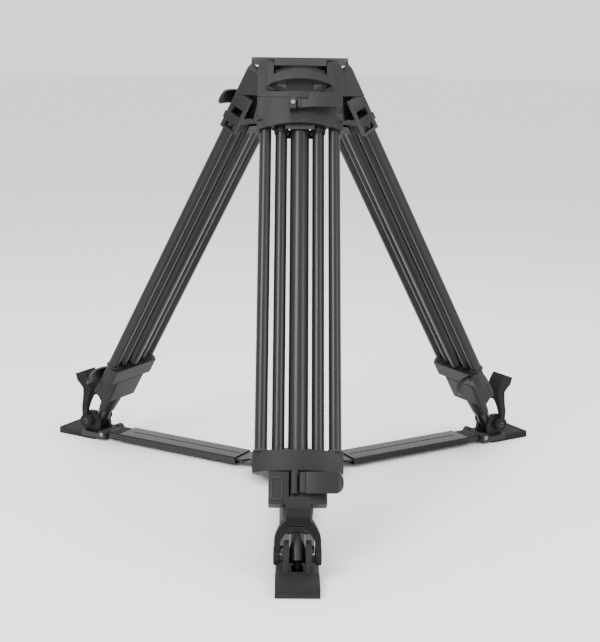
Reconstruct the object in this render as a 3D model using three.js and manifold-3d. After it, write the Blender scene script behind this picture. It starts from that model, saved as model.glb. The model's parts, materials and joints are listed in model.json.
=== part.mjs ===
// Twin-tube video tripod with a 100 mm bowl and a ground-level spreader.
// Millimetres, +Z up. The feet stand on z = 0, and the origin is the middle of the footprint's box.
import * as THREE from 'three';
import { mergeVertices } from 'three/addons/utils/BufferGeometryUtils.js';
import Module from 'manifold-3d';

const wasm = await Module();
wasm.setup();

// ---- driving dimensions -------------------------------------------------------------------
const CROWN_TOP = 630;          // height of the bowl's rim with the legs spread
const LEG_TILT = THREE.MathUtils.degToRad(29.73);
const LEG_ROOT_RADIUS = 33;     // radius at which a leg's tube plane meets the rim's height
const LEGS = { front: -90, right: 30, left: 150 };

const BOWL_RADIUS = 50;
const BOWL_HOLE = 24;           // opening for the head's clamp bolt
const HINGE_RADIUS = 56;        // leg hinge: distance from the tripod's axis
const HINGE_HEIGHT = 600;
const PIN_RADIUS = 4;

const CASTING_HALF = 59.5;      // half width of the shoulder and the top collar
const FACE_OUT = 23.3;          // how far their faces stand out of the tube plane
const FACE_CURVE = 118;         // radius of their convex faces
const SHELL = 5;
const PARTING_HEIGHT = 576.5;   // shoulder above, collar below

const OUTER_TUBE_X = 47.4;
const INNER_TUBE_X = 25.4;
const TUBE_RADIUS = 8.3;
const CENTRE_TUBE_RADIUS = 13;
const TUBES_START = 104.5;      // distances down the leg, measured from the rim's height
const COLLAR_LOW_TOP = 565.5;
const COLLAR_LOW_END = 592;
const BLOCK_END = 634;
const BOOT_END = 668;
const SPIKE_SHOULDER = 703;
const SPIKE_TIP = 714;

const PAD_INNER = 399;          // radii of the foot's pieces, from the tripod's axis
const PAD_OUTER = 445;
const PAD_HALF = 27.4;
const PAD_HEIGHT = 11.7;
const ARM_PIVOT_RADIUS = 356;
const ARM_PIVOT_HEIGHT = 10.5;
const ARM_HALF = 23;
const ARM_BOTTOM = 5;
const ARM_TOP = 16;
const CHANNEL_OUTER = 322;
const CHANNEL_INNER = 95;
const TONGUE_INNER = 107;
const BAR_OUTER = 310;
const HUB_PIVOT_RADIUS = 66;
const BAR_BOTTOM = 10.7;
const BAR_TOP = 14.1;
const STRAP_PIVOT_RADIUS = 387;
const STRAP_PIVOT_HEIGHT = 30;

const GAP = 0.3;                // clearance between pieces that touch
const CURVE_STEPS = 8;

// ---- materials ----------------------------------------------------------------------------
function finish(color, roughness, metalness) {
  return new THREE.MeshStandardMaterial({ color, roughness, metalness });
}
const CASTING = finish(0x3c3d3e, 0.6, 0.3);
const ANODISED = finish(0x2b2b2d, 0.35, 0.8);
const RUBBER = finish(0x1d1d1e, 0.85, 0);
const LEVER = finish(0x323334, 0.5, 0.1);
const STEEL = finish(0x56575a, 0.3, 0.9);

// ---- solids -------------------------------------------------------------------------------
function signedVolume(geometry) {
  const p = geometry.attributes.position;
  const corners = [new THREE.Vector3(), new THREE.Vector3(), new THREE.Vector3()];
  let volume = 0;
  for (let i = 0; i < geometry.index.count; i += 3) {
    corners.forEach((corner, k) => corner.fromBufferAttribute(p, geometry.index.getX(i + k)));
    volume += corners[0].dot(corners[1].clone().cross(corners[2])) / 6;
  }
  return volume;
}

function toSolid(geometry) {
  const bare = geometry.clone();
  bare.deleteAttribute('normal');
  bare.deleteAttribute('uv');
  const merged = mergeVertices(bare, 1e-4);
  const triangles = Uint32Array.from(merged.index.array);
  if (signedVolume(merged) < 0) triangles.reverse();
  const vertices = Float32Array.from(merged.attributes.position.array);
  return new wasm.Manifold(new wasm.Mesh({ numProp: 3, vertProperties: vertices, triVerts: triangles }));
}

function toGeometry(solid) {
  const mesh = solid.getMesh();
  const geometry = new THREE.BufferGeometry();
  geometry.setAttribute('position', new THREE.BufferAttribute(Float32Array.from(mesh.vertProperties), 3));
  geometry.setIndex(new THREE.BufferAttribute(Uint32Array.from(mesh.triVerts), 1));
  geometry.computeVertexNormals();
  return geometry;
}

const join = (...solids) => solids.reduce((all, solid) => all.add(solid));
const cut = (solid, ...tools) => tools.reduce((rest, tool) => rest.subtract(tool), solid);

// An outline extruded along an axis. Outlines are (x, y) for z, (y, z) for x and (x, z) for y.
const AXES = {
  z: new THREE.Matrix4(),
  x: new THREE.Matrix4().makeBasis(
    new THREE.Vector3(0, 1, 0), new THREE.Vector3(0, 0, 1), new THREE.Vector3(1, 0, 0)),
  y: new THREE.Matrix4().makeBasis(
    new THREE.Vector3(1, 0, 0), new THREE.Vector3(0, 0, 1), new THREE.Vector3(0, -1, 0)),
};

function prism(axis, outline, from, to, place) {
  const points = Array.isArray(outline) && outline.map(([a, b]) => new THREE.Vector2(a, b));
  const shape = points ? new THREE.Shape(points) : outline;
  const options = { depth: to - from, bevelEnabled: false, curveSegments: CURVE_STEPS };
  const geometry = new THREE.ExtrudeGeometry(shape, options);
  geometry.translate(0, 0, axis === 'y' ? -to : from);
  geometry.applyMatrix4(AXES[axis]);
  if (place) geometry.applyMatrix4(place);
  return toSolid(geometry);
}

function block([x0, x1], [y0, y1], [z0, z1], place) {
  const geometry = new THREE.BoxGeometry(x1 - x0, y1 - y0, z1 - z0);
  geometry.translate((x0 + x1) / 2, (y0 + y1) / 2, (z0 + z1) / 2);
  if (place) geometry.applyMatrix4(place);
  return toSolid(geometry);
}

// A profile of (radius, z) points turned about the z axis.
function turned(profile, segments = 36) {
  const points = profile.map(([r, z]) => new THREE.Vector2(r, z));
  const geometry = new THREE.LatheGeometry(points, segments);
  geometry.rotateX(Math.PI / 2);
  return toSolid(geometry);
}

function disc(a, b, radius) {
  return new THREE.Shape().absarc(a, b, radius, 0, Math.PI * 2, false);
}

function roundedRect(a0, a1, b0, b1, radius) {
  const quarter = Math.PI / 2;
  return new THREE.Shape()
    .absarc(a1 - radius, b0 + radius, radius, -quarter, 0, false)
    .absarc(a1 - radius, b1 - radius, radius, 0, quarter, false)
    .absarc(a0 + radius, b1 - radius, radius, quarter, 2 * quarter, false)
    .absarc(a0 + radius, b0 + radius, radius, 2 * quarter, 3 * quarter, false);
}

// ---- frames -------------------------------------------------------------------------------
// Each leg is made in its own upright frame: x across the leg, y towards the tripod's axis, z up.
// LEAN takes a leg's tube-plane frame there: x across, y inwards, and z up along the leg, where
// the distance down the leg is -z.
const LEAN = new THREE.Matrix4()
  .makeTranslation(0, -LEG_ROOT_RADIUS, CROWN_TOP)
  .multiply(new THREE.Matrix4().makeRotationX(-LEG_TILT));

// Tube-plane frame: a band that follows the castings' convex face, `depth` thick.
function faceBand(half, depth, offset = 0) {
  const steps = Array.from({ length: 9 }, (_, i) => -half + (2 * half * i) / 8);
  const face = (x) => -FACE_OUT + offset + FACE_CURVE - Math.sqrt(FACE_CURVE ** 2 - x ** 2);
  const outer = steps.map((x) => [x, face(x)]);
  const inner = steps.map((x) => [x, face(x) + depth]).reverse();
  return outer.concat(inner);
}

// ---- crown and shoulders ------------------------------------------------------------------
const CROWN_PLATE_BOTTOM = 619;
const SHOULDER_TOP = 626;
const FLANK_THICK = 6;
const FLANK_ROOM_RADIUS = 28;   // the crown is left whole nearer to the axis than this
const NOTCH_HALF = 37;
const LUG_INNER = 19;
const LUG_OUTER = 31;
const LUG_RADIUS = 8.5;
const KNUCKLE_RADIUS = 9.5;     // the leg's hinge knuckle, between the crown's lugs

function shoulderOutline(half, topDown, corner) {
  return roundedRect(-half, half, -90, -topDown, corner);
}

function notchOutline(half) {
  const arch = new THREE.Shape();
  arch.moveTo(-half, 607);
  arch.quadraticCurveTo(0, 625, half, 607);
  arch.lineTo(half, 660);
  arch.lineTo(-half, 660);
  return arch;
}

function slotOutline() {
  const slot = new THREE.Shape();
  slot.absellipse(0, 586, 48, 16, Math.PI, 0, true);
  slot.lineTo(44, 583.5);
  slot.quadraticCurveTo(0, 586.5, -44, 583.5);
  return slot;
}

// Flanks close the crown's corners. `grow` widens them by a clearance.
function flanks(grow) {
  return [-1, 1].map((side) => {
    const near = CASTING_HALF - FLANK_THICK - grow;
    const far = CASTING_HALF + grow;
    const x = side > 0 ? [near, far] : [-far, -near];
    return block(x, [-9 - grow, 60], [-90, 10], LEAN);
  });
}

// The third of a turn that belongs to one leg, so that neighbours meet in a mitre.
function sector() {
  const reach = 200;
  const x = reach * Math.sin(Math.PI / 3);
  const y = -reach * Math.cos(Math.PI / 3) - GAP;
  return prism('z', [[0, -GAP], [-x, y], [-x, y - reach], [x, y - reach], [x, y]], 500, 700);
}

function shoulder() {
  const shell = prism('z', faceBand(CASTING_HALF, SHELL), -95, 10, LEAN);
  const outline = prism('y', shoulderOutline(CASTING_HALF + 1, 12, 16), -60, 80, LEAN);
  const body = join(shell, ...flanks(0)).intersect(outline).intersect(sector());
  const below = block([-80, 80], [-200, 50], [500, PARTING_HEIGHT + GAP]);
  const above = block([-80, 80], [-200, 50], [SHOULDER_TOP, 680]);
  const notch = prism('y', notchOutline(NOTCH_HALF), -120, 0);
  const slot = prism('y', slotOutline(), -120, -40);
  return cut(body, below, above, notch, slot);
}

// The room that a shoulder takes, which the crown leaves free.
function shoulderRoom() {
  const depth = SHELL + 2 * GAP;
  const shell = prism('z', faceBand(CASTING_HALF + GAP, depth + 40, -40), -95, 20, LEAN);
  const outline = prism('y', shoulderOutline(CASTING_HALF + 1 + GAP, 12 - GAP, 16), -90, 80, LEAN);
  const above = block([-90, 90], [-200, 50], [SHOULDER_TOP + 2 * GAP, 700]);
  const notch = block([-NOTCH_HALF + 0.6, NOTCH_HALF - 0.6], [-200, 50], [CROWN_PLATE_BOTTOM, 700]);
  const inward = block([-90, 90], [-FLANK_ROOM_RADIUS, 200], [400, 800]);
  const room = join(shell, ...flanks(GAP)).intersect(outline);
  return cut(room, above, notch, inward);
}

function plateOutline() {
  const flat = { half: 35.5, radius: 60 };
  const corner = { half: 12, radius: 69 };
  const points = [];
  for (let i = 0; i < 6; i += 1) {
    const { half, radius } = i % 2 ? corner : flat;
    const turn = THREE.MathUtils.degToRad(60 * i - 90);
    for (const side of [-half, half]) {
      const x = radius * Math.cos(turn) - side * Math.sin(turn);
      const y = radius * Math.sin(turn) + side * Math.cos(turn);
      points.push([x, y]);
    }
  }
  return points;
}

function aroundLegs(make) {
  return Object.values(LEGS).map((azimuth) => {
    const turn = new THREE.Matrix4().makeRotationZ(THREE.MathUtils.degToRad(azimuth + 90));
    const geometry = toGeometry(make());
    return toSolid(geometry.applyMatrix4(turn));
  });
}

function hingeLugs() {
  const lug = new THREE.Shape();
  lug.absarc(-HINGE_RADIUS, HINGE_HEIGHT, LUG_RADIUS, -Math.PI / 2, Math.PI / 2, true);
  lug.lineTo(-40, HINGE_HEIGHT + LUG_RADIUS);
  lug.lineTo(-40, HINGE_HEIGHT - LUG_RADIUS);
  const pair = join(prism('x', lug, -LUG_OUTER, -LUG_INNER), prism('x', lug, LUG_INNER, LUG_OUTER));
  return cut(pair, prism('x', disc(-HINGE_RADIUS, HINGE_HEIGHT, PIN_RADIUS + GAP), -40, 40));
}

function crown() {
  const cupWall = [[0, 584], [40, 584], [49, 592], [54, 606], [56, 620]];
  const cup = turned([...cupWall, [56, CROWN_TOP], [0, CROWN_TOP]]);
  const plate = prism('z', plateOutline(), CROWN_PLATE_BOTTOM, CROWN_TOP);
  const pillars = aroundLegs(() => {
    const profile = [[-44, 586], [-58, 592], [-65, 606], [-66, 620], [-44, 620]];
    const turn = new THREE.Matrix4().makeRotationZ(Math.PI / 3);
    return prism('x', profile, -4, 4, turn);
  });
  const bowl = [[0, 570], [BOWL_HOLE, 570]];
  for (let i = 0; i <= 5; i += 1) {
    const angle = THREE.MathUtils.degToRad(41 + (49 * i) / 5);
    const radius = BOWL_RADIUS * Math.sin(angle);
    const height = CROWN_TOP - BOWL_RADIUS * Math.cos(angle);
    if (i === 0) bowl.push([BOWL_HOLE, height]);
    bowl.push([radius, height]);
  }
  bowl.push([BOWL_RADIUS, CROWN_TOP + 5], [0, CROWN_TOP + 5]);
  const body = join(cup, plate, ...pillars, ...aroundLegs(hingeLugs));
  const knuckle = disc(-HINGE_RADIUS, HINGE_HEIGHT, KNUCKLE_RADIUS + 0.8);
  const neckRoom = [[-45.8, 602], [-45.8, 570], [-75, 570], [-75, 602]];
  const knuckleRoom = () => join(
    prism('x', knuckle, -LUG_INNER, LUG_INNER),
    prism('x', neckRoom, -LUG_INNER, LUG_INNER),
  );
  return cut(body, turned(bowl), ...aroundLegs(shoulderRoom), ...aroundLegs(knuckleRoom));
}

// ---- leg ----------------------------------------------------------------------------------
const COLLAR_INNER_Y = 13.5;    // inner faces of the top collar and of the lower castings
const LOWER_INNER_Y = 16;
const CHEEK_INNER_Y = 18;       // the top collar's windowed sides

function topCollar() {
  const shell = prism('z', faceBand(CASTING_HALF, SHELL), -130, -40, LEAN);
  const cheeks = [-1, 1].map((side) => {
    const x = [side * (CASTING_HALF - 7), side * CASTING_HALF].sort((a, b) => a - b);
    const cheek = block(x, [-9, CHEEK_INNER_Y], [-118, -45], LEAN);
    const windows = [[-91, -80], [-113, -105]].map((z) => block([-70, 70], [-3.5, 14.5], z, LEAN));
    return cut(cheek, ...windows);
  });
  const tubePlate = block([-CASTING_HALF + 1, CASTING_HALF - 1], [-12, COLLAR_INNER_Y], [-104, -94], LEAN);
  const bottom = new THREE.Shape();
  bottom.moveTo(-65, -30);
  bottom.lineTo(-65, -118);
  bottom.quadraticCurveTo(0, -107, 65, -118);
  bottom.lineTo(65, -30);
  const outline = prism('y', bottom, -60, 40, LEAN);
  const body = join(shell, ...cheeks, tubePlate).intersect(outline);
  const parting = PARTING_HEIGHT - GAP;
  const stop = [[-200, parting], [-61, parting], [20, 540], [20, 700], [-200, 700]];
  const clampBlock = block([-14, -6], [-33, -18], [-96, -79], LEAN);
  const neck = [[-48, 597], [-57, 577], [-67, 539], [-88, 546], [-76, 574], [-68, 588], [-64, 600]];
  const tongue = join(
    prism('x', neck, -LUG_INNER + 0.5, LUG_INNER - 0.5),
    prism('x', disc(-HINGE_RADIUS, HINGE_HEIGHT, KNUCKLE_RADIUS), -LUG_INNER + 0.5, LUG_INNER - 0.5),
    prism('x', disc(-HINGE_RADIUS, HINGE_HEIGHT, PIN_RADIUS), -LUG_OUTER - 2, LUG_OUTER + 2),
  );
  const sockets = [-OUTER_TUBE_X, OUTER_TUBE_X].map((x) => (
    prism('z', disc(x, 0, TUBE_RADIUS + GAP), -130, -TUBES_START + GAP, LEAN)));
  return join(cut(body, prism('x', stop, -80, 80), ...sockets), clampBlock, tongue);
}

function tube(x, radius, start, end) {
  return prism('z', disc(x, 0, radius), -end, -start);
}

function lowerCollar() {
  const half = 58;
  const curve = 102;
  const arc = new THREE.Shape();
  const sweep = Math.asin(half / curve);
  arc.absarc(0, curve - 20, curve, -Math.PI / 2 - sweep, -Math.PI / 2 + sweep, false);
  arc.lineTo(half, 8);
  arc.lineTo(half - 6, LOWER_INNER_Y);
  arc.lineTo(-half + 6, LOWER_INNER_Y);
  arc.lineTo(-half, 8);
  const holes = [-INNER_TUBE_X, INNER_TUBE_X].map((x) => tube(x, TUBE_RADIUS + 0.4, 540, 610));
  const centre = tube(0, CENTRE_TUBE_RADIUS + 0.4, 540, 610);
  return cut(prism('z', arc, -COLLAR_LOW_END, -COLLAR_LOW_TOP), ...holes, centre);
}

function stageBlock() {
  const outline = roundedRect(-37, 37, -17, LOWER_INNER_Y, 4);
  const body = prism('z', outline, -BLOCK_END, -COLLAR_LOW_END - 1);
  const bore = tube(0, CENTRE_TUBE_RADIUS + 0.4, 590, 640);
  const slit = block([-11, -9], [-20, 0], [-640, -590]);
  const post = prism('z', disc(-4, -21, 5), -622, -COLLAR_LOW_END - 1);
  const web = block([-8, 0], [-20, -12], [-622, -COLLAR_LOW_END - 1]);
  return join(cut(body, bore, slit), cut(join(post, web), bore));
}

function boot() {
  const length = BOOT_END - BLOCK_END - 1;
  const geometry = new THREE.CylinderGeometry(20.5, 17, length, 28);
  geometry.scale(1, 1, 0.65);
  geometry.rotateX(Math.PI / 2);
  geometry.translate(0, 0, -(BLOCK_END + BOOT_END + 1) / 2);
  return toSolid(geometry);
}

function spike() {
  return turned([
    [0, -BOOT_END - GAP], [9.9, -BOOT_END - GAP], [9.9, -SPIKE_SHOULDER + 1], [9, -SPIKE_SHOULDER],
    [6.5, -SPIKE_SHOULDER], [1.2, -SPIKE_TIP], [0, -SPIKE_TIP],
  ], 16);
}

// A lever blade that bows outwards: `face` is its distance out, `down` its place along the leg.
function blade(from, to, face, down, height, thick) {
  const middle = (from + to) / 2;
  const section = new THREE.Shape();
  section.moveTo(from, -face);
  section.quadraticCurveTo(middle, -face - 8, to, -face - 1);
  section.lineTo(to, -face - 1 + thick);
  section.quadraticCurveTo(middle, -face - 8 + thick, from, -face + thick);
  const body = prism('z', section, -down - height, -down);
  const outline = roundedRect(from - height, to, -down - height, -down, height * 0.42);
  return body.intersect(prism('y', outline, -80, 0));
}

function topLever() {
  const eye = prism('z', disc(-1, -27.5, 3.9), -93, -82);
  const shoulderRoomAtRoot = block([-20, 11], [-40, -10], [-82, -60]);
  return join(cut(blade(-2, 57, 29.5, 72, 22, 3.6), shoulderRoomAtRoot), eye);
}

function stageLever() {
  const eye = prism('z', disc(5.6, -25.5, 4.2), -621, -596);
  return join(blade(4, 57, 25, 595, 27, 3.8), eye);
}

// ---- foot ---------------------------------------------------------------------------------
function shoe() {
  const base = block([-27, 27], [-PAD_INNER + GAP, -349], [3.2, 12]);
  const lugs = prism('x', disc(-ARM_PIVOT_RADIUS, ARM_PIVOT_HEIGHT, 7.2), -27, 27);
  const mouth = block([-15.4, 15.4], [-368, -330], [0, 30]);
  const pin = prism('x', disc(-ARM_PIVOT_RADIUS, ARM_PIVOT_HEIGHT, 2.6), -20, 20);
  const profile = [[-368, 8], [-370, 28], [-376, 46], [-388, 46], [-396, 30], [-398, 8]];
  const ears = [[-17.5, -10.6], [10.6, 17.5]].map(([a, b]) => prism('x', profile, a, b));
  const cup = block([-7.5, 7.5], [-395, -374], [6, 14]);
  return cut(join(cut(join(base, lugs), mouth), pin, ...ears), cup);
}

function pad() {
  const heel = prism('x', [[-PAD_OUTER, 0], [-PAD_OUTER, 9.5], [-PAD_OUTER + 2.5, PAD_HEIGHT],
    [-PAD_INNER, PAD_HEIGHT], [-PAD_INNER, 2.9], [-371, 2.9], [-371, 0]], -PAD_HALF, PAD_HALF);
  const groove = block([-40, 40], [-PAD_OUTER + 7, -PAD_OUTER + 9], [PAD_HEIGHT - 1.2, 20]);
  return cut(heel, groove);
}

function strap() {
  const side = new THREE.Shape();
  side.moveTo(-383, 24);
  side.lineTo(-384, 62);
  side.quadraticCurveTo(-385, 84, -395, 104);
  side.lineTo(-400, 112);
  side.lineTo(-418, 105);
  side.lineTo(-414, 93);
  side.quadraticCurveTo(-396, 80, -394.5, 60);
  side.lineTo(-393, 24);
  const front = new THREE.Shape();
  front.moveTo(-29, 20);
  front.lineTo(-29, 52);
  front.quadraticCurveTo(-27, 66, -15, 82);
  front.lineTo(-14.5, 120);
  front.lineTo(14.5, 120);
  front.lineTo(15, 82);
  front.quadraticCurveTo(27, 66, 29, 52);
  front.lineTo(29, 20);
  front.lineTo(21.5, 20);
  front.lineTo(21.5, 50);
  front.quadraticCurveTo(17, 62, 7, 70);
  front.lineTo(-7, 70);
  front.quadraticCurveTo(-17, 62, -21.5, 50);
  front.lineTo(-21.5, 20);
  const yoke = prism('x', side, -40, 40).intersect(prism('y', front, -430, -370));
  const bosses = [[-29, -21.5], [21.5, 29]].map(([a, b]) => (
    prism('x', disc(-STRAP_PIVOT_RADIUS, STRAP_PIVOT_HEIGHT, 9), a, b)));
  return join(yoke, ...bosses);
}

function tongue() {
  const eye = prism('x', disc(-ARM_PIVOT_RADIUS, ARM_PIVOT_HEIGHT, 5.4), -15, 15);
  const root = block([-15, 15], [-ARM_PIVOT_RADIUS, -342], [ARM_BOTTOM + 1, ARM_TOP - 1.5]);
  const step = block([-20.5, 20.5], [-345, -CHANNEL_OUTER - 1], [ARM_BOTTOM + 1, ARM_TOP - 2.5]);
  const strip = block([-20.5, 20.5], [-345, -TONGUE_INNER], [6.9, 10.3]);
  const bore = prism('x', disc(-ARM_PIVOT_RADIUS, ARM_PIVOT_HEIGHT, 2.9), -20, 20);
  return cut(join(eye, root, step, strip), bore);
}

function channel() {
  const outer = roundedRect(-ARM_HALF, ARM_HALF, ARM_BOTTOM, ARM_TOP, 1.5);
  const body = prism('y', outer, -CHANNEL_OUTER, -CHANNEL_INNER);
  const inside = ARM_HALF - 1.8;
  const hollow = block([-inside, inside], [-CHANNEL_OUTER - 5, -CHANNEL_INNER + 5], [6.6, 14.4]);
  const slot = block([-1.2, 1.2], [-CHANNEL_OUTER + 12, -CHANNEL_INNER - 6], [14, 20]);
  return cut(body, hollow, slot);
}

function bar() {
  const tip = HUB_PIVOT_RADIUS - 2;
  const outline = [
    [-20.5, -BAR_OUTER], [20.5, -BAR_OUTER], [20.5, -82], [12, -76], [12, -tip - 2],
    [10, -tip], [-10, -tip], [-12, -tip - 2], [-12, -76], [-20.5, -82],
  ];
  return prism('z', outline, BAR_BOTTOM, BAR_TOP);
}

function hub() {
  const rim = [[0, 15.8], [68, 15.8], [70, 17.5], [69, 19.8]];
  const dome = [[30, 20.5], [24, 29], [20, 31], [0, 31]];
  const plate = turned([...rim, ...dome]);
  const cheeks = [[-16, -12.6], [12.6, 16]].map(([a, b]) => (
    prism('x', disc(-HUB_PIVOT_RADIUS, (BAR_BOTTOM + BAR_TOP) / 2, 4.6), a, b)));
  const webs = [[-16, -12.6], [12.6, 16]].map(([a, b]) => (
    block([a, b], [-HUB_PIVOT_RADIUS - 4, -HUB_PIVOT_RADIUS + 6], [12, 17])));
  return join(plate, ...cheeks, ...webs);
}

function transportHook() {
  const path = new THREE.CatmullRomCurve3([
    new THREE.Vector3(-47, 17.5, -571),
    new THREE.Vector3(-47, 26, -567),
    new THREE.Vector3(-47, 38, -568),
    new THREE.Vector3(-47, 46, -575),
    new THREE.Vector3(-47, 44, -582),
  ]);
  const corners = [[-4, -3], [4, -3], [4, 3], [-4, 3]];
  const section = new THREE.Shape(corners.map(([a, b]) => new THREE.Vector2(a, b)));
  const wire = toSolid(new THREE.ExtrudeGeometry(section, { steps: 8, extrudePath: path }));
  return join(wire, block([-53, -41], [LOWER_INNER_Y + GAP, 20], [-583, -567]));
}

// ---- assembly -----------------------------------------------------------------------------
function piece(group, name, solid, material) {
  const mesh = new THREE.Mesh(toGeometry(solid), material);
  mesh.name = name;
  group.add(mesh);
}

function addUprightPieces(group, side) {
  piece(group, `shoulder_${side}`, shoulder(), CASTING);
  piece(group, `top_collar_${side}`, topCollar(), CASTING);
  piece(group, `shoe_${side}`, shoe(), CASTING);
  piece(group, `pad_${side}`, pad(), RUBBER);
  piece(group, `fork_strap_${side}`, strap(), RUBBER);
  piece(group, `spreader_tongue_${side}`, tongue(), CASTING);
  piece(group, `spreader_channel_${side}`, channel(), ANODISED);
  piece(group, `spreader_bar_${side}`, bar(), ANODISED);
}

function addLeaningPieces(group, side) {
  for (const [letter, end] of [['a', -1], ['b', 1]]) {
    const outer = tube(end * OUTER_TUBE_X, TUBE_RADIUS, TUBES_START, COLLAR_LOW_TOP - GAP);
    const inner = tube(end * INNER_TUBE_X, TUBE_RADIUS, TUBES_START, COLLAR_LOW_END + 0.7);
    piece(group, `outer_tube_${letter}_${side}`, outer, ANODISED);
    piece(group, `inner_tube_${letter}_${side}`, inner, ANODISED);
  }
  piece(group, `centre_tube_${side}`, tube(0, CENTRE_TUBE_RADIUS, 108, BLOCK_END + 0.7), ANODISED);
  piece(group, `lower_collar_${side}`, lowerCollar(), CASTING);
  piece(group, `stage_block_${side}`, stageBlock(), CASTING);
  piece(group, `boot_${side}`, boot(), CASTING);
  piece(group, `spike_${side}`, spike(), STEEL);
  piece(group, `top_lever_${side}`, topLever(), LEVER);
  piece(group, `stage_lever_${side}`, stageLever(), LEVER);
}

const tripod = new THREE.Group();
const footprint = {
  front: PAD_OUTER,
  back: PAD_OUTER * Math.cos(Math.PI / 3) + PAD_HALF * Math.sin(Math.PI / 3),
};
tripod.position.y = (footprint.front - footprint.back) / 2;
piece(tripod, 'crown', crown(), CASTING);
piece(tripod, 'spreader_hub', hub(), CASTING);

for (const [side, azimuth] of Object.entries(LEGS)) {
  const upright = new THREE.Group();
  upright.rotation.z = THREE.MathUtils.degToRad(azimuth + 90);
  const leaning = new THREE.Group();
  leaning.position.set(0, -LEG_ROOT_RADIUS, CROWN_TOP);
  leaning.rotation.x = -LEG_TILT;
  upright.add(leaning);
  tripod.add(upright);
  addUprightPieces(upright, side);
  addLeaningPieces(leaning, side);
  if (side === 'right') piece(leaning, 'transport_hook', transportHook(), LEVER);
}

const part = new THREE.Group();
part.add(tripod);
export default part;
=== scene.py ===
import json
import math

import bmesh
import bpy
from mathutils import Matrix, Vector

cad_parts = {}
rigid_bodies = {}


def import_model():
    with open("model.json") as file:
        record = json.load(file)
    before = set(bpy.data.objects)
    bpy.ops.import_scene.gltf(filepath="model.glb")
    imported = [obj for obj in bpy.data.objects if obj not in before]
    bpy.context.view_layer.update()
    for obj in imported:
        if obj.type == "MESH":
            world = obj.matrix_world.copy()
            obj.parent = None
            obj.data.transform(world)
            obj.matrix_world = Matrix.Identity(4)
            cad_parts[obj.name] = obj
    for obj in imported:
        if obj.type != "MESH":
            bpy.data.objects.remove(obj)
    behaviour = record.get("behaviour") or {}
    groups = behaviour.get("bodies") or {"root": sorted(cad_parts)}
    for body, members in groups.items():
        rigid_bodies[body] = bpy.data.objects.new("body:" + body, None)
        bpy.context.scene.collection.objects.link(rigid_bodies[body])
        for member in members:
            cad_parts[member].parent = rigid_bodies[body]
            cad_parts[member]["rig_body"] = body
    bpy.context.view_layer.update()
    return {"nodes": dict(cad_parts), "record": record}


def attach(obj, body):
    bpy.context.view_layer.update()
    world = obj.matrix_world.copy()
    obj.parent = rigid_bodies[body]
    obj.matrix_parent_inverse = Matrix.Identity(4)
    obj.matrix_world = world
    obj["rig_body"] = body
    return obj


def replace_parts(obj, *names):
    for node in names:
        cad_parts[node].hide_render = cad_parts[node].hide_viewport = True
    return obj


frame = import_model()

# ---- driving dimensions, in millimetres; a leg's distances run down the leg from the rim -------
MM = 0.001
LEGS = {"front": -90, "right": 30, "left": 150}
LEG_TILT = math.radians(29.73)
LEG_ROOT = (0, -33, 630)
OUTER_TUBE_X = 47.4
INNER_TUBE_X = 25.4
TUBE_RADIUS = 8.3
CENTRE_TUBE_RADIUS = 13.0
TUBES_START = 104.5
OUTER_TUBE_END = 565.2
INNER_TUBE_END = 592.7
CENTRE_TUBE_START = 108.0
CENTRE_TUBE_END = 634.7
COLLAR_LOW_TOP = 565.5
STRAP_PIVOT = (-387, 30)
ARM_PIVOT = (-356, 10.5)
RIB_RADIUS = 1.5
RIM = next(m for m in frame["record"]["mounts"] if m["name"] == "bowl_rim")
AXIS_Y = RIM["pos_m"][1]        # the tripod's own axis, in metres


# ---- frames ------------------------------------------------------------------------------------
def upright(azimuth):
    """A leg's upright frame: x across the leg, y towards the tripod's axis, z up."""
    return Matrix.Translation((0, AXIS_Y, 0)) @ Matrix.Rotation(math.radians(azimuth + 90), 4, "Z")


def leaning(azimuth):
    """A leg's tube-plane frame: x across, y inwards, and -z down the leg."""
    root = Matrix.Translation(Vector(LEG_ROOT) * MM)
    return upright(azimuth) @ root @ Matrix.Rotation(-LEG_TILT, 4, "X")


# ---- materials ---------------------------------------------------------------------------------
PATCHES = 0.12                  # how far a surface's patches stray from its colour


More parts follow.
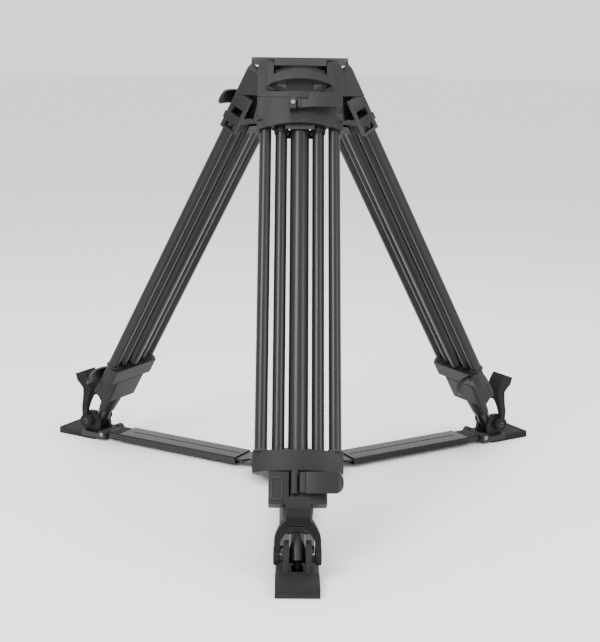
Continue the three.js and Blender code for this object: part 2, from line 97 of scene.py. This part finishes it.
def material(name, color, roughness, metallic, grain, bump, worn, stretch=1.0):
    """Fine grain in the bump, soft patches in colour and roughness, and paler worn edges."""
    mat = bpy.data.materials.new(name)
    mat.use_nodes = True
    nodes, links = mat.node_tree.nodes, mat.node_tree.links
    shader = nodes["Principled BSDF"]
    shader.inputs["Metallic"].default_value = metallic
    shader.inputs["Specular IOR Level"].default_value = 0.26
    place = nodes.new("ShaderNodeTexCoord")
    scale = nodes.new("ShaderNodeMapping")
    scale.inputs["Scale"].default_value = (1, 1, stretch)
    links.new(place.outputs["Object"], scale.inputs["Vector"])

    def noise(size, detail):
        node = nodes.new("ShaderNodeTexNoise")
        node.inputs["Scale"].default_value = size
        node.inputs["Detail"].default_value = detail
        links.new(scale.outputs["Vector"], node.inputs["Vector"])
        return node.outputs["Fac"]

    def ramp(source, low, high, start, end):
        node = nodes.new("ShaderNodeValToRGB")
        node.color_ramp.elements[0].position = start
        node.color_ramp.elements[1].position = end
        node.color_ramp.elements[0].color = (*low, 1)
        node.color_ramp.elements[1].color = (*high, 1)
        links.new(source, node.inputs["Fac"])
        return node.outputs["Color"]

    dark = [c * (1 - PATCHES) for c in color]
    light = [c * (1 + PATCHES) for c in color]
    base = ramp(noise(60, 4), dark, light, 0.3, 0.7)
    edges = nodes.new("ShaderNodeNewGeometry")
    wear = ramp(edges.outputs["Pointiness"], (0, 0, 0), (1, 1, 1), 0.52, 0.62)
    mix = nodes.new("ShaderNodeMix")
    mix.data_type = "RGBA"
    links.new(wear, mix.inputs["Factor"])
    links.new(base, mix.inputs[6])
    mix.inputs[7].default_value = (*[min(1, c + worn) for c in color], 1)
    links.new(mix.outputs[2], shader.inputs["Base Color"])

    rough = nodes.new("ShaderNodeMapRange")
    rough.inputs["To Min"].default_value = roughness - 0.06
    rough.inputs["To Max"].default_value = roughness + 0.08
    links.new(noise(180, 3), rough.inputs["Value"])
    links.new(rough.outputs["Result"], shader.inputs["Roughness"])

    relief = nodes.new("ShaderNodeBump")
    relief.inputs["Strength"].default_value = bump
    relief.inputs["Distance"].default_value = 0.0002
    links.new(noise(grain, 2), relief.inputs["Height"])
    links.new(relief.outputs["Normal"], shader.inputs["Normal"])
    return mat


CASTING = material("casting", (0.0085, 0.0085, 0.0088), 0.52, 0.0, 2600, 0.35, 0.022)
TUBE = material("anodised_tube", (0.015, 0.015, 0.0156), 0.27, 0.55, 1500, 0.08, 0.02, stretch=0.04)
RUBBER = material("rubber", (0.0042, 0.0042, 0.0044), 0.74, 0.0, 1800, 0.45, 0.01)
LEVER = material("lever", (0.0078, 0.0078, 0.0081), 0.44, 0.0, 2200, 0.22, 0.02)
DARK_STEEL = material("steel", (0.030, 0.030, 0.032), 0.34, 0.8, 1200, 0.10, 0.05)
BRIGHT = material("bright_steel", (0.36, 0.36, 0.37), 0.28, 1.0, 1200, 0.08, 0.10)
SLOTS = {"casting": CASTING, "anodised_tube": TUBE, "rubber": RUBBER,
         "lever": LEVER, "steel": DARK_STEEL}


SHARP_ANGLE = math.radians(32)


# ---- mesh tools; outlines and profiles are in millimetres --------------------------------------
def prism(bm, outline, low, high, axis="z"):
    """The outline, given in the two other axes in order, filled from low to high along axis."""
    def point(a, b, c):
        return {"z": (a, b, c), "x": (c, a, b), "y": (a, c, b)}[axis]
    rings = [[bm.verts.new(point(a, b, c)) for a, b in outline] for c in (low, high)]
    count = len(outline)
    bm.faces.new(rings[0][::-1])
    bm.faces.new(rings[1])
    for i in range(count):
        j = (i + 1) % count
        bm.faces.new((rings[0][i], rings[0][j], rings[1][j], rings[1][i]))


def box(bm, x, y, z):
    prism(bm, [(x[0], y[0]), (x[1], y[0]), (x[1], y[1]), (x[0], y[1])], *z)


def lathe(bm, profile, place=Matrix(), segments=64, hexed=()):
    """A closed profile of (radius, height) round z. Rings listed in hexed are six-sided."""
    rings = []
    for k, (radius, height) in enumerate(profile):
        ring = []
        for i in range(segments):
            turn = 2 * math.pi * i / segments
            reach = radius
            if k in hexed:
                reach = radius / math.cos((turn + math.pi / 6) % (math.pi / 3) - math.pi / 6)
            spot = Vector((reach * math.cos(turn), reach * math.sin(turn), height))
            ring.append(bm.verts.new(place @ spot))
        rings.append(ring)
    for first, second in zip(rings, rings[1:]):
        for i in range(segments):
            j = (i + 1) % segments
            bm.faces.new((first[i], first[j], second[j], second[i]))
    bm.faces.new(rings[0][::-1])
    bm.faces.new(rings[-1])


def washer(bm, profile, x, segments=48):
    """A profile of (radius, height) that closes on itself, turned round z at x."""
    rings = []
    for radius, height in profile:
        turns = [2 * math.pi * i / segments for i in range(segments)]
        rings.append([bm.verts.new((x + radius * math.cos(a), radius * math.sin(a), height))
                      for a in turns])
    for first, second in zip(rings, rings[1:] + rings[:1]):
        for i in range(segments):
            j = (i + 1) % segments
            bm.faces.new((first[i], first[j], second[j], second[i]))


def facing(point, direction):
    """A place at point whose z axis runs along direction."""
    turn = Vector(direction).to_track_quat("Z", "Y").to_matrix().to_4x4()
    return Matrix.Translation(point) @ turn


def bolt(bm, point, direction, radius, height=2.0):
    """A socket-head bolt with a six-sided recess, standing on point."""
    profile = [(radius, 0), (radius, height - 0.5), (radius - 0.5, height),
               (radius * 0.5, height), (radius * 0.5, height - 1.2), (0.01, height - 1.2)]
    lathe(bm, profile, facing(point, direction), segments=24, hexed=(3, 4))


def smooth(mesh):
    mesh.polygons.foreach_set("use_smooth", [True] * len(mesh.polygons))
    mesh.set_sharp_from_angle(angle=SHARP_ANGLE)


def soften(obj, width):
    """Small rounds along every hard edge."""
    bevel = obj.modifiers.new("edges", "BEVEL")
    bevel.width = width * MM
    bevel.segments = 3
    bevel.limit_method = "ANGLE"
    bevel.angle_limit = math.radians(38)
    bevel.harden_normals = True


def made(name, bm, place, body, slot, look=None, edge=0.0):
    """Finishes a new piece: its mesh stays in its own leg's frame, and it rides on a body."""
    bmesh.ops.recalc_face_normals(bm, faces=bm.faces)
    mesh = bpy.data.meshes.new(name)
    bm.to_mesh(mesh)
    bm.free()
    mesh.transform(Matrix.Scale(MM, 4))
    smooth(mesh)
    mesh.materials.append(look or SLOTS[slot])
    obj = bpy.data.objects.new(name, mesh)
    bpy.context.scene.collection.objects.link(obj)
    obj.matrix_world = place
    if edge:
        soften(obj, edge)
    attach(obj, body)
    return obj


def refined(node, slot, edge):
    """A CAD casting's shape with its flat faces merged and every edge rounded."""
    source = frame["nodes"][node]
    bm = bmesh.new()
    bm.from_mesh(source.data)
    bmesh.ops.remove_doubles(bm, verts=bm.verts, dist=2e-6)
    bmesh.ops.dissolve_limit(bm, angle_limit=math.radians(1), verts=bm.verts, edges=bm.edges)
    mesh = bpy.data.meshes.new(node + "_shell")
    bm.to_mesh(mesh)
    bm.free()
    smooth(mesh)
    mesh.materials.append(SLOTS[slot])
    obj = bpy.data.objects.new(node + "_shell", mesh)
    bpy.context.scene.collection.objects.link(obj)
    soften(obj, edge)
    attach(obj, source["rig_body"])
    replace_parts(obj, node)
    return obj


# ---- pieces of one leg -------------------------------------------------------------------------
def round_tube(name, node, x, radius, start, end, place, body):
    """A drawn tube with a rounded lip and a blind bore at both ends."""
    bore, depth, lip = radius - 1.3, 6, 0.4
    profile = [(0.01, -start - depth), (bore, -start - depth), (bore, -start - lip),
               (bore + lip, -start), (radius - lip, -start), (radius, -start - lip),
               (radius, -end + lip), (radius - lip, -end), (bore + lip, -end),
               (bore, -end + lip), (bore, -end + depth), (0.01, -end + depth)]
    bm = bmesh.new()
    lathe(bm, profile, Matrix.Translation((x, 0, 0)))
    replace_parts(made(name, bm, place, body, "anodised_tube"), node)


def tubes(side, place):
    for letter, end in (("a", -1), ("b", 1)):
        round_tube(f"outer_rail_{letter}_{side}", f"outer_tube_{letter}_{side}", end * OUTER_TUBE_X,
                   TUBE_RADIUS, TUBES_START, OUTER_TUBE_END, place, f"leg_{side}")
        round_tube(f"inner_rail_{letter}_{side}", f"inner_tube_{letter}_{side}", end * INNER_TUBE_X,
                   TUBE_RADIUS, TUBES_START, INNER_TUBE_END, place, f"stage2_{side}")
    round_tube(f"centre_rail_{side}", f"centre_tube_{side}", 0, CENTRE_TUBE_RADIUS,
               CENTRE_TUBE_START, CENTRE_TUBE_END, place, f"stage3_{side}")


def bridge(side, place):
    """The cross piece that holds the two inner tubes' upper ends, round the centre tube."""
    top, bottom = -106.0, -119.0
    bm = bmesh.new()
    inner, outer = TUBE_RADIUS + 0.05, TUBE_RADIUS + 1.8
    for x in (-INNER_TUBE_X, INNER_TUBE_X):
        washer(bm, [(inner, bottom), (outer, bottom), (outer, top), (inner, top)], x)
    for y in (-15.6, 14.2):
        box(bm, (-20, 20), (y, y + 1.4), (bottom, top))
    made(f"bridge_{side}", bm, place, f"stage2_{side}", "casting", edge=0.3)
    bm = bmesh.new()
    for x in (-17, 17):
        bolt(bm, (x, -15.6, -112.5), (0, -1, 0), 1.9, 1.2)
    made(f"bridge_screws_{side}", bm, place, f"stage2_{side}", "steel")


def collar_trim(side, place):
    """Rings at the lower collar's tube sockets, and the bright ends of the lock bolts."""
    bm = bmesh.new()
    for x in (-OUTER_TUBE_X, OUTER_TUBE_X):
        inner, outer = TUBE_RADIUS + 0.1, TUBE_RADIUS + 1.7
        low = -COLLAR_LOW_TOP
        washer(bm, [(inner, low), (outer, low), (outer, low + 2.2), (outer - 0.6, low + 3),
                    (inner, low + 3)], x)
    made(f"socket_rings_{side}", bm, place, f"leg_{side}", "casting")
    bm = bmesh.new()
    bolt(bm, (-10, -32.8, -87), (0, -1, 0), 3.0, 1.6)
    made(f"spread_lock_bolt_{side}", bm, place, f"leg_{side}", "steel", BRIGHT)


def foot_trim(side, place):
    """Pivot ends on the strap and shoe, and the ribs that give the strap's handle its grip."""
    bm = bmesh.new()
    eye = [(11.5, 0), (11.5, 5.6), (10.4, 6.8), (6.4, 6.8), (6.4, 5.4), (0.01, 5.4)]
    for end in (-1, 1):
        lathe(bm, eye, facing((end * 23, *STRAP_PIVOT), (end, 0, 0)), segments=48)
    made(f"strap_eyes_{side}", bm, place, f"strap_{side}", "rubber", edge=0.3)
    bm = bmesh.new()
    for end in (-1, 1):
        bolt(bm, (end * 28.3, *STRAP_PIVOT), (end, 0, 0), 4.8, 1.7)
    made(f"strap_bolts_{side}", bm, place, f"strap_{side}", "steel")
    bm = bmesh.new()
    for end in (-1, 1):
        bolt(bm, (end * 26.8, *ARM_PIVOT), (end, 0, 0), 3.2, 1.2)
    made(f"arm_pin_ends_{side}", bm, place, f"foot_{side}", "steel", BRIGHT)
    bm = bmesh.new()
    for i in range(6):
        t = 0.04 + 0.13 * i
        upper, middle, lower = (1 - t) ** 2, 2 * t * (1 - t), t * t
        y = upper * -414 + middle * -396 + lower * -394.5
        z = upper * 93 + middle * 80 + lower * 60
        ring = [(y + RIB_RADIUS * math.cos(math.pi * k / 6),
                 z + RIB_RADIUS * math.sin(math.pi * k / 6))
                for k in range(12)]
        prism(bm, ring, -11.5, 11.5, "x")
    made(f"strap_ribs_{side}", bm, place, f"strap_{side}", "rubber", edge=0.4)


def block_panel(side, place):
    """The raised frame round the stage block's recessed panel."""
    left, right, top, bottom, face = -34.0, -19.0, -600.0, -629.0, (-18.3, -16.6)
    bm = bmesh.new()
    box(bm, (left, right), face, (top - 2.2, top))
    box(bm, (left, right), face, (bottom, bottom + 2.2))
    box(bm, (left, left + 2.2), face, (bottom, top))
    box(bm, (right - 2.2, right), face, (bottom, top))
    made(f"block_panel_{side}", bm, place, f"stage2_{side}", "casting", edge=0.4)


def tongue_ridges(side, place):
    """Grip ridges across the tongue's stepped root."""
    bm = bmesh.new()
    for i in range(4):
        y = -341.5 + 4.6 * i
        box(bm, (-19, 19), (y - 1.1, y + 1.1), (12.8, 14.9))
    made(f"tongue_ridges_{side}", bm, place, f"tongue_{side}", "casting", edge=0.4)


def rim_rib(side, place):
    """The arched rib under the crown's rim, seen through the shoulder's notch."""
    half, rise, thick, steps = 35.0, 7.0, 4.6, 16
    xs = [-half + 2 * half * i / steps for i in range(steps + 1)]
    arch = [(x, 611.5 + rise * (1 - (x / half) ** 2)) for x in xs]
    outline = arch + [(x, z - thick) for x, z in reversed(arch)]
    bm = bmesh.new()
    prism(bm, outline, -60.0, -53.5, "y")
    made(f"rim_rib_{side}", bm, place, "crown", "casting", edge=0.8)


def corner_cap(side, place):
    """The crown's corner between this leg's shoulder and the next one's."""
    turn = place @ Matrix.Rotation(math.radians(60), 4, "Z")
    bm = bmesh.new()
    plan = [(-14, -50), (14, -50), (14, -60), (2, -66.5), (-2, -66.5), (-14, -60)]
    prism(bm, plan, 603, 620)
    made(f"corner_cap_{side}", bm, turn, "crown", "casting", edge=0.8)


EDGES = {"shoulder": 2.0, "top_collar": 0.9, "lower_collar": 1.2, "stage_block": 1.1,
         "boot": 0.8, "shoe": 0.7, "pad": 1.6, "fork_strap": 2.2, "spreader_tongue": 0.5,
         "spreader_channel": 0.4, "spreader_bar": 0.4, "spike": 0.4, "top_lever": 1.0,
         "stage_lever": 1.1}
PIECE_SLOTS = {"pad": "rubber", "fork_strap": "rubber", "spreader_channel": "anodised_tube",
               "spreader_bar": "anodised_tube", "spike": "steel", "top_lever": "lever",
               "stage_lever": "lever"}

refined("crown", "casting", 1.0)
refined("spreader_hub", "casting", 0.8)
refined("transport_hook", "lever", 0.8)
for side, azimuth in LEGS.items():
    for kind, edge in EDGES.items():
        refined(f"{kind}_{side}", PIECE_SLOTS.get(kind, "casting"), edge)
    tubes(side, leaning(azimuth))
    bridge(side, leaning(azimuth))
    collar_trim(side, leaning(azimuth))
    foot_trim(side, upright(azimuth))
    block_panel(side, leaning(azimuth))
    tongue_ridges(side, upright(azimuth))
    rim_rib(side, upright(azimuth))
    corner_cap(side, upright(azimuth))


# ---- camera ------------------------------------------------------------------------------------
CAMERA_DISTANCE = 1.7835
CAMERA_HEIGHT = 0.63006
CAMERA_PITCH = 0.2143
CAMERA_ROLL = 0.0129
CAMERA_TURN = -0.0121           # round the tripod's axis


def camera():
    forward = Vector((0, math.cos(CAMERA_PITCH), -math.sin(CAMERA_PITCH)))
    down = Vector((0, -math.sin(CAMERA_PITCH), -math.cos(CAMERA_PITCH)))
    right = Vector((1, 0, 0))
    across = math.cos(CAMERA_ROLL) * right - math.sin(CAMERA_ROLL) * down
    below = math.sin(CAMERA_ROLL) * right + math.cos(CAMERA_ROLL) * down
    pose = Matrix((across, -below, -forward)).transposed().to_4x4()
    pose.translation = Vector((0, -CAMERA_DISTANCE, CAMERA_HEIGHT))
    data = bpy.data.cameras.new("camera")
    data.lens = 67.9
    data.sensor_width = 36
    data.shift_x = 0.0053
    obj = bpy.data.objects.new("camera", data)
    bpy.context.scene.collection.objects.link(obj)
    turn = Matrix.Rotation(CAMERA_TURN, 4, "Z")
    obj.matrix_world = Matrix.Translation((0, AXIS_Y, 0)) @ turn @ pose
    bpy.context.scene.camera = obj


# ---- studio ------------------------------------------------------------------------------------
def area_light(name, spot, aim, size, power):
    data = bpy.data.lights.new(name, "AREA")
    data.shape = "RECTANGLE"
    data.size, data.size_y = size
    data.energy = power
    obj = bpy.data.objects.new(name, data)
    bpy.context.scene.collection.objects.link(obj)
    obj.location = spot
    obj.rotation_euler = (Vector(aim) - Vector(spot)).to_track_quat("-Z", "Y").to_euler()


def studio():
    mesh = bpy.data.meshes.new("floor")
    reach = 40
    corners = [(-reach, -reach, 0), (reach, -reach, 0), (reach, reach, 0), (-reach, reach, 0)]
    mesh.from_pydata(corners, [], [(0, 1, 2, 3)])
    floor = bpy.data.objects.new("floor", mesh)
    bpy.context.scene.collection.objects.link(floor)
    paint = bpy.data.materials.new("floor")
    paint.use_nodes = True
    paint.node_tree.nodes["Principled BSDF"].inputs["Base Color"].default_value = (0.9, 0.9, 0.9, 1)
    paint.node_tree.nodes["Principled BSDF"].inputs["Roughness"].default_value = 0.8
    mesh.materials.append(paint)
    world = bpy.data.worlds.new("studio")
    world.use_nodes = True
    world.node_tree.nodes["Background"].inputs["Color"].default_value = (1, 1, 1, 1)
    world.node_tree.nodes["Background"].inputs["Strength"].default_value = 1.45
    bpy.context.scene.world = world
    aim = (0, AXIS_Y, 0.35)
    area_light("key", (-1.3, -1.6, 2.2), aim, (1.2, 1.2), 60)
    area_light("fill", (1.8, -1.2, 1.2), aim, (0.8, 1.8), 28)
    area_light("top", (0, 0.4, 2.4), aim, (1.6, 1.6), 42)


camera()
studio()
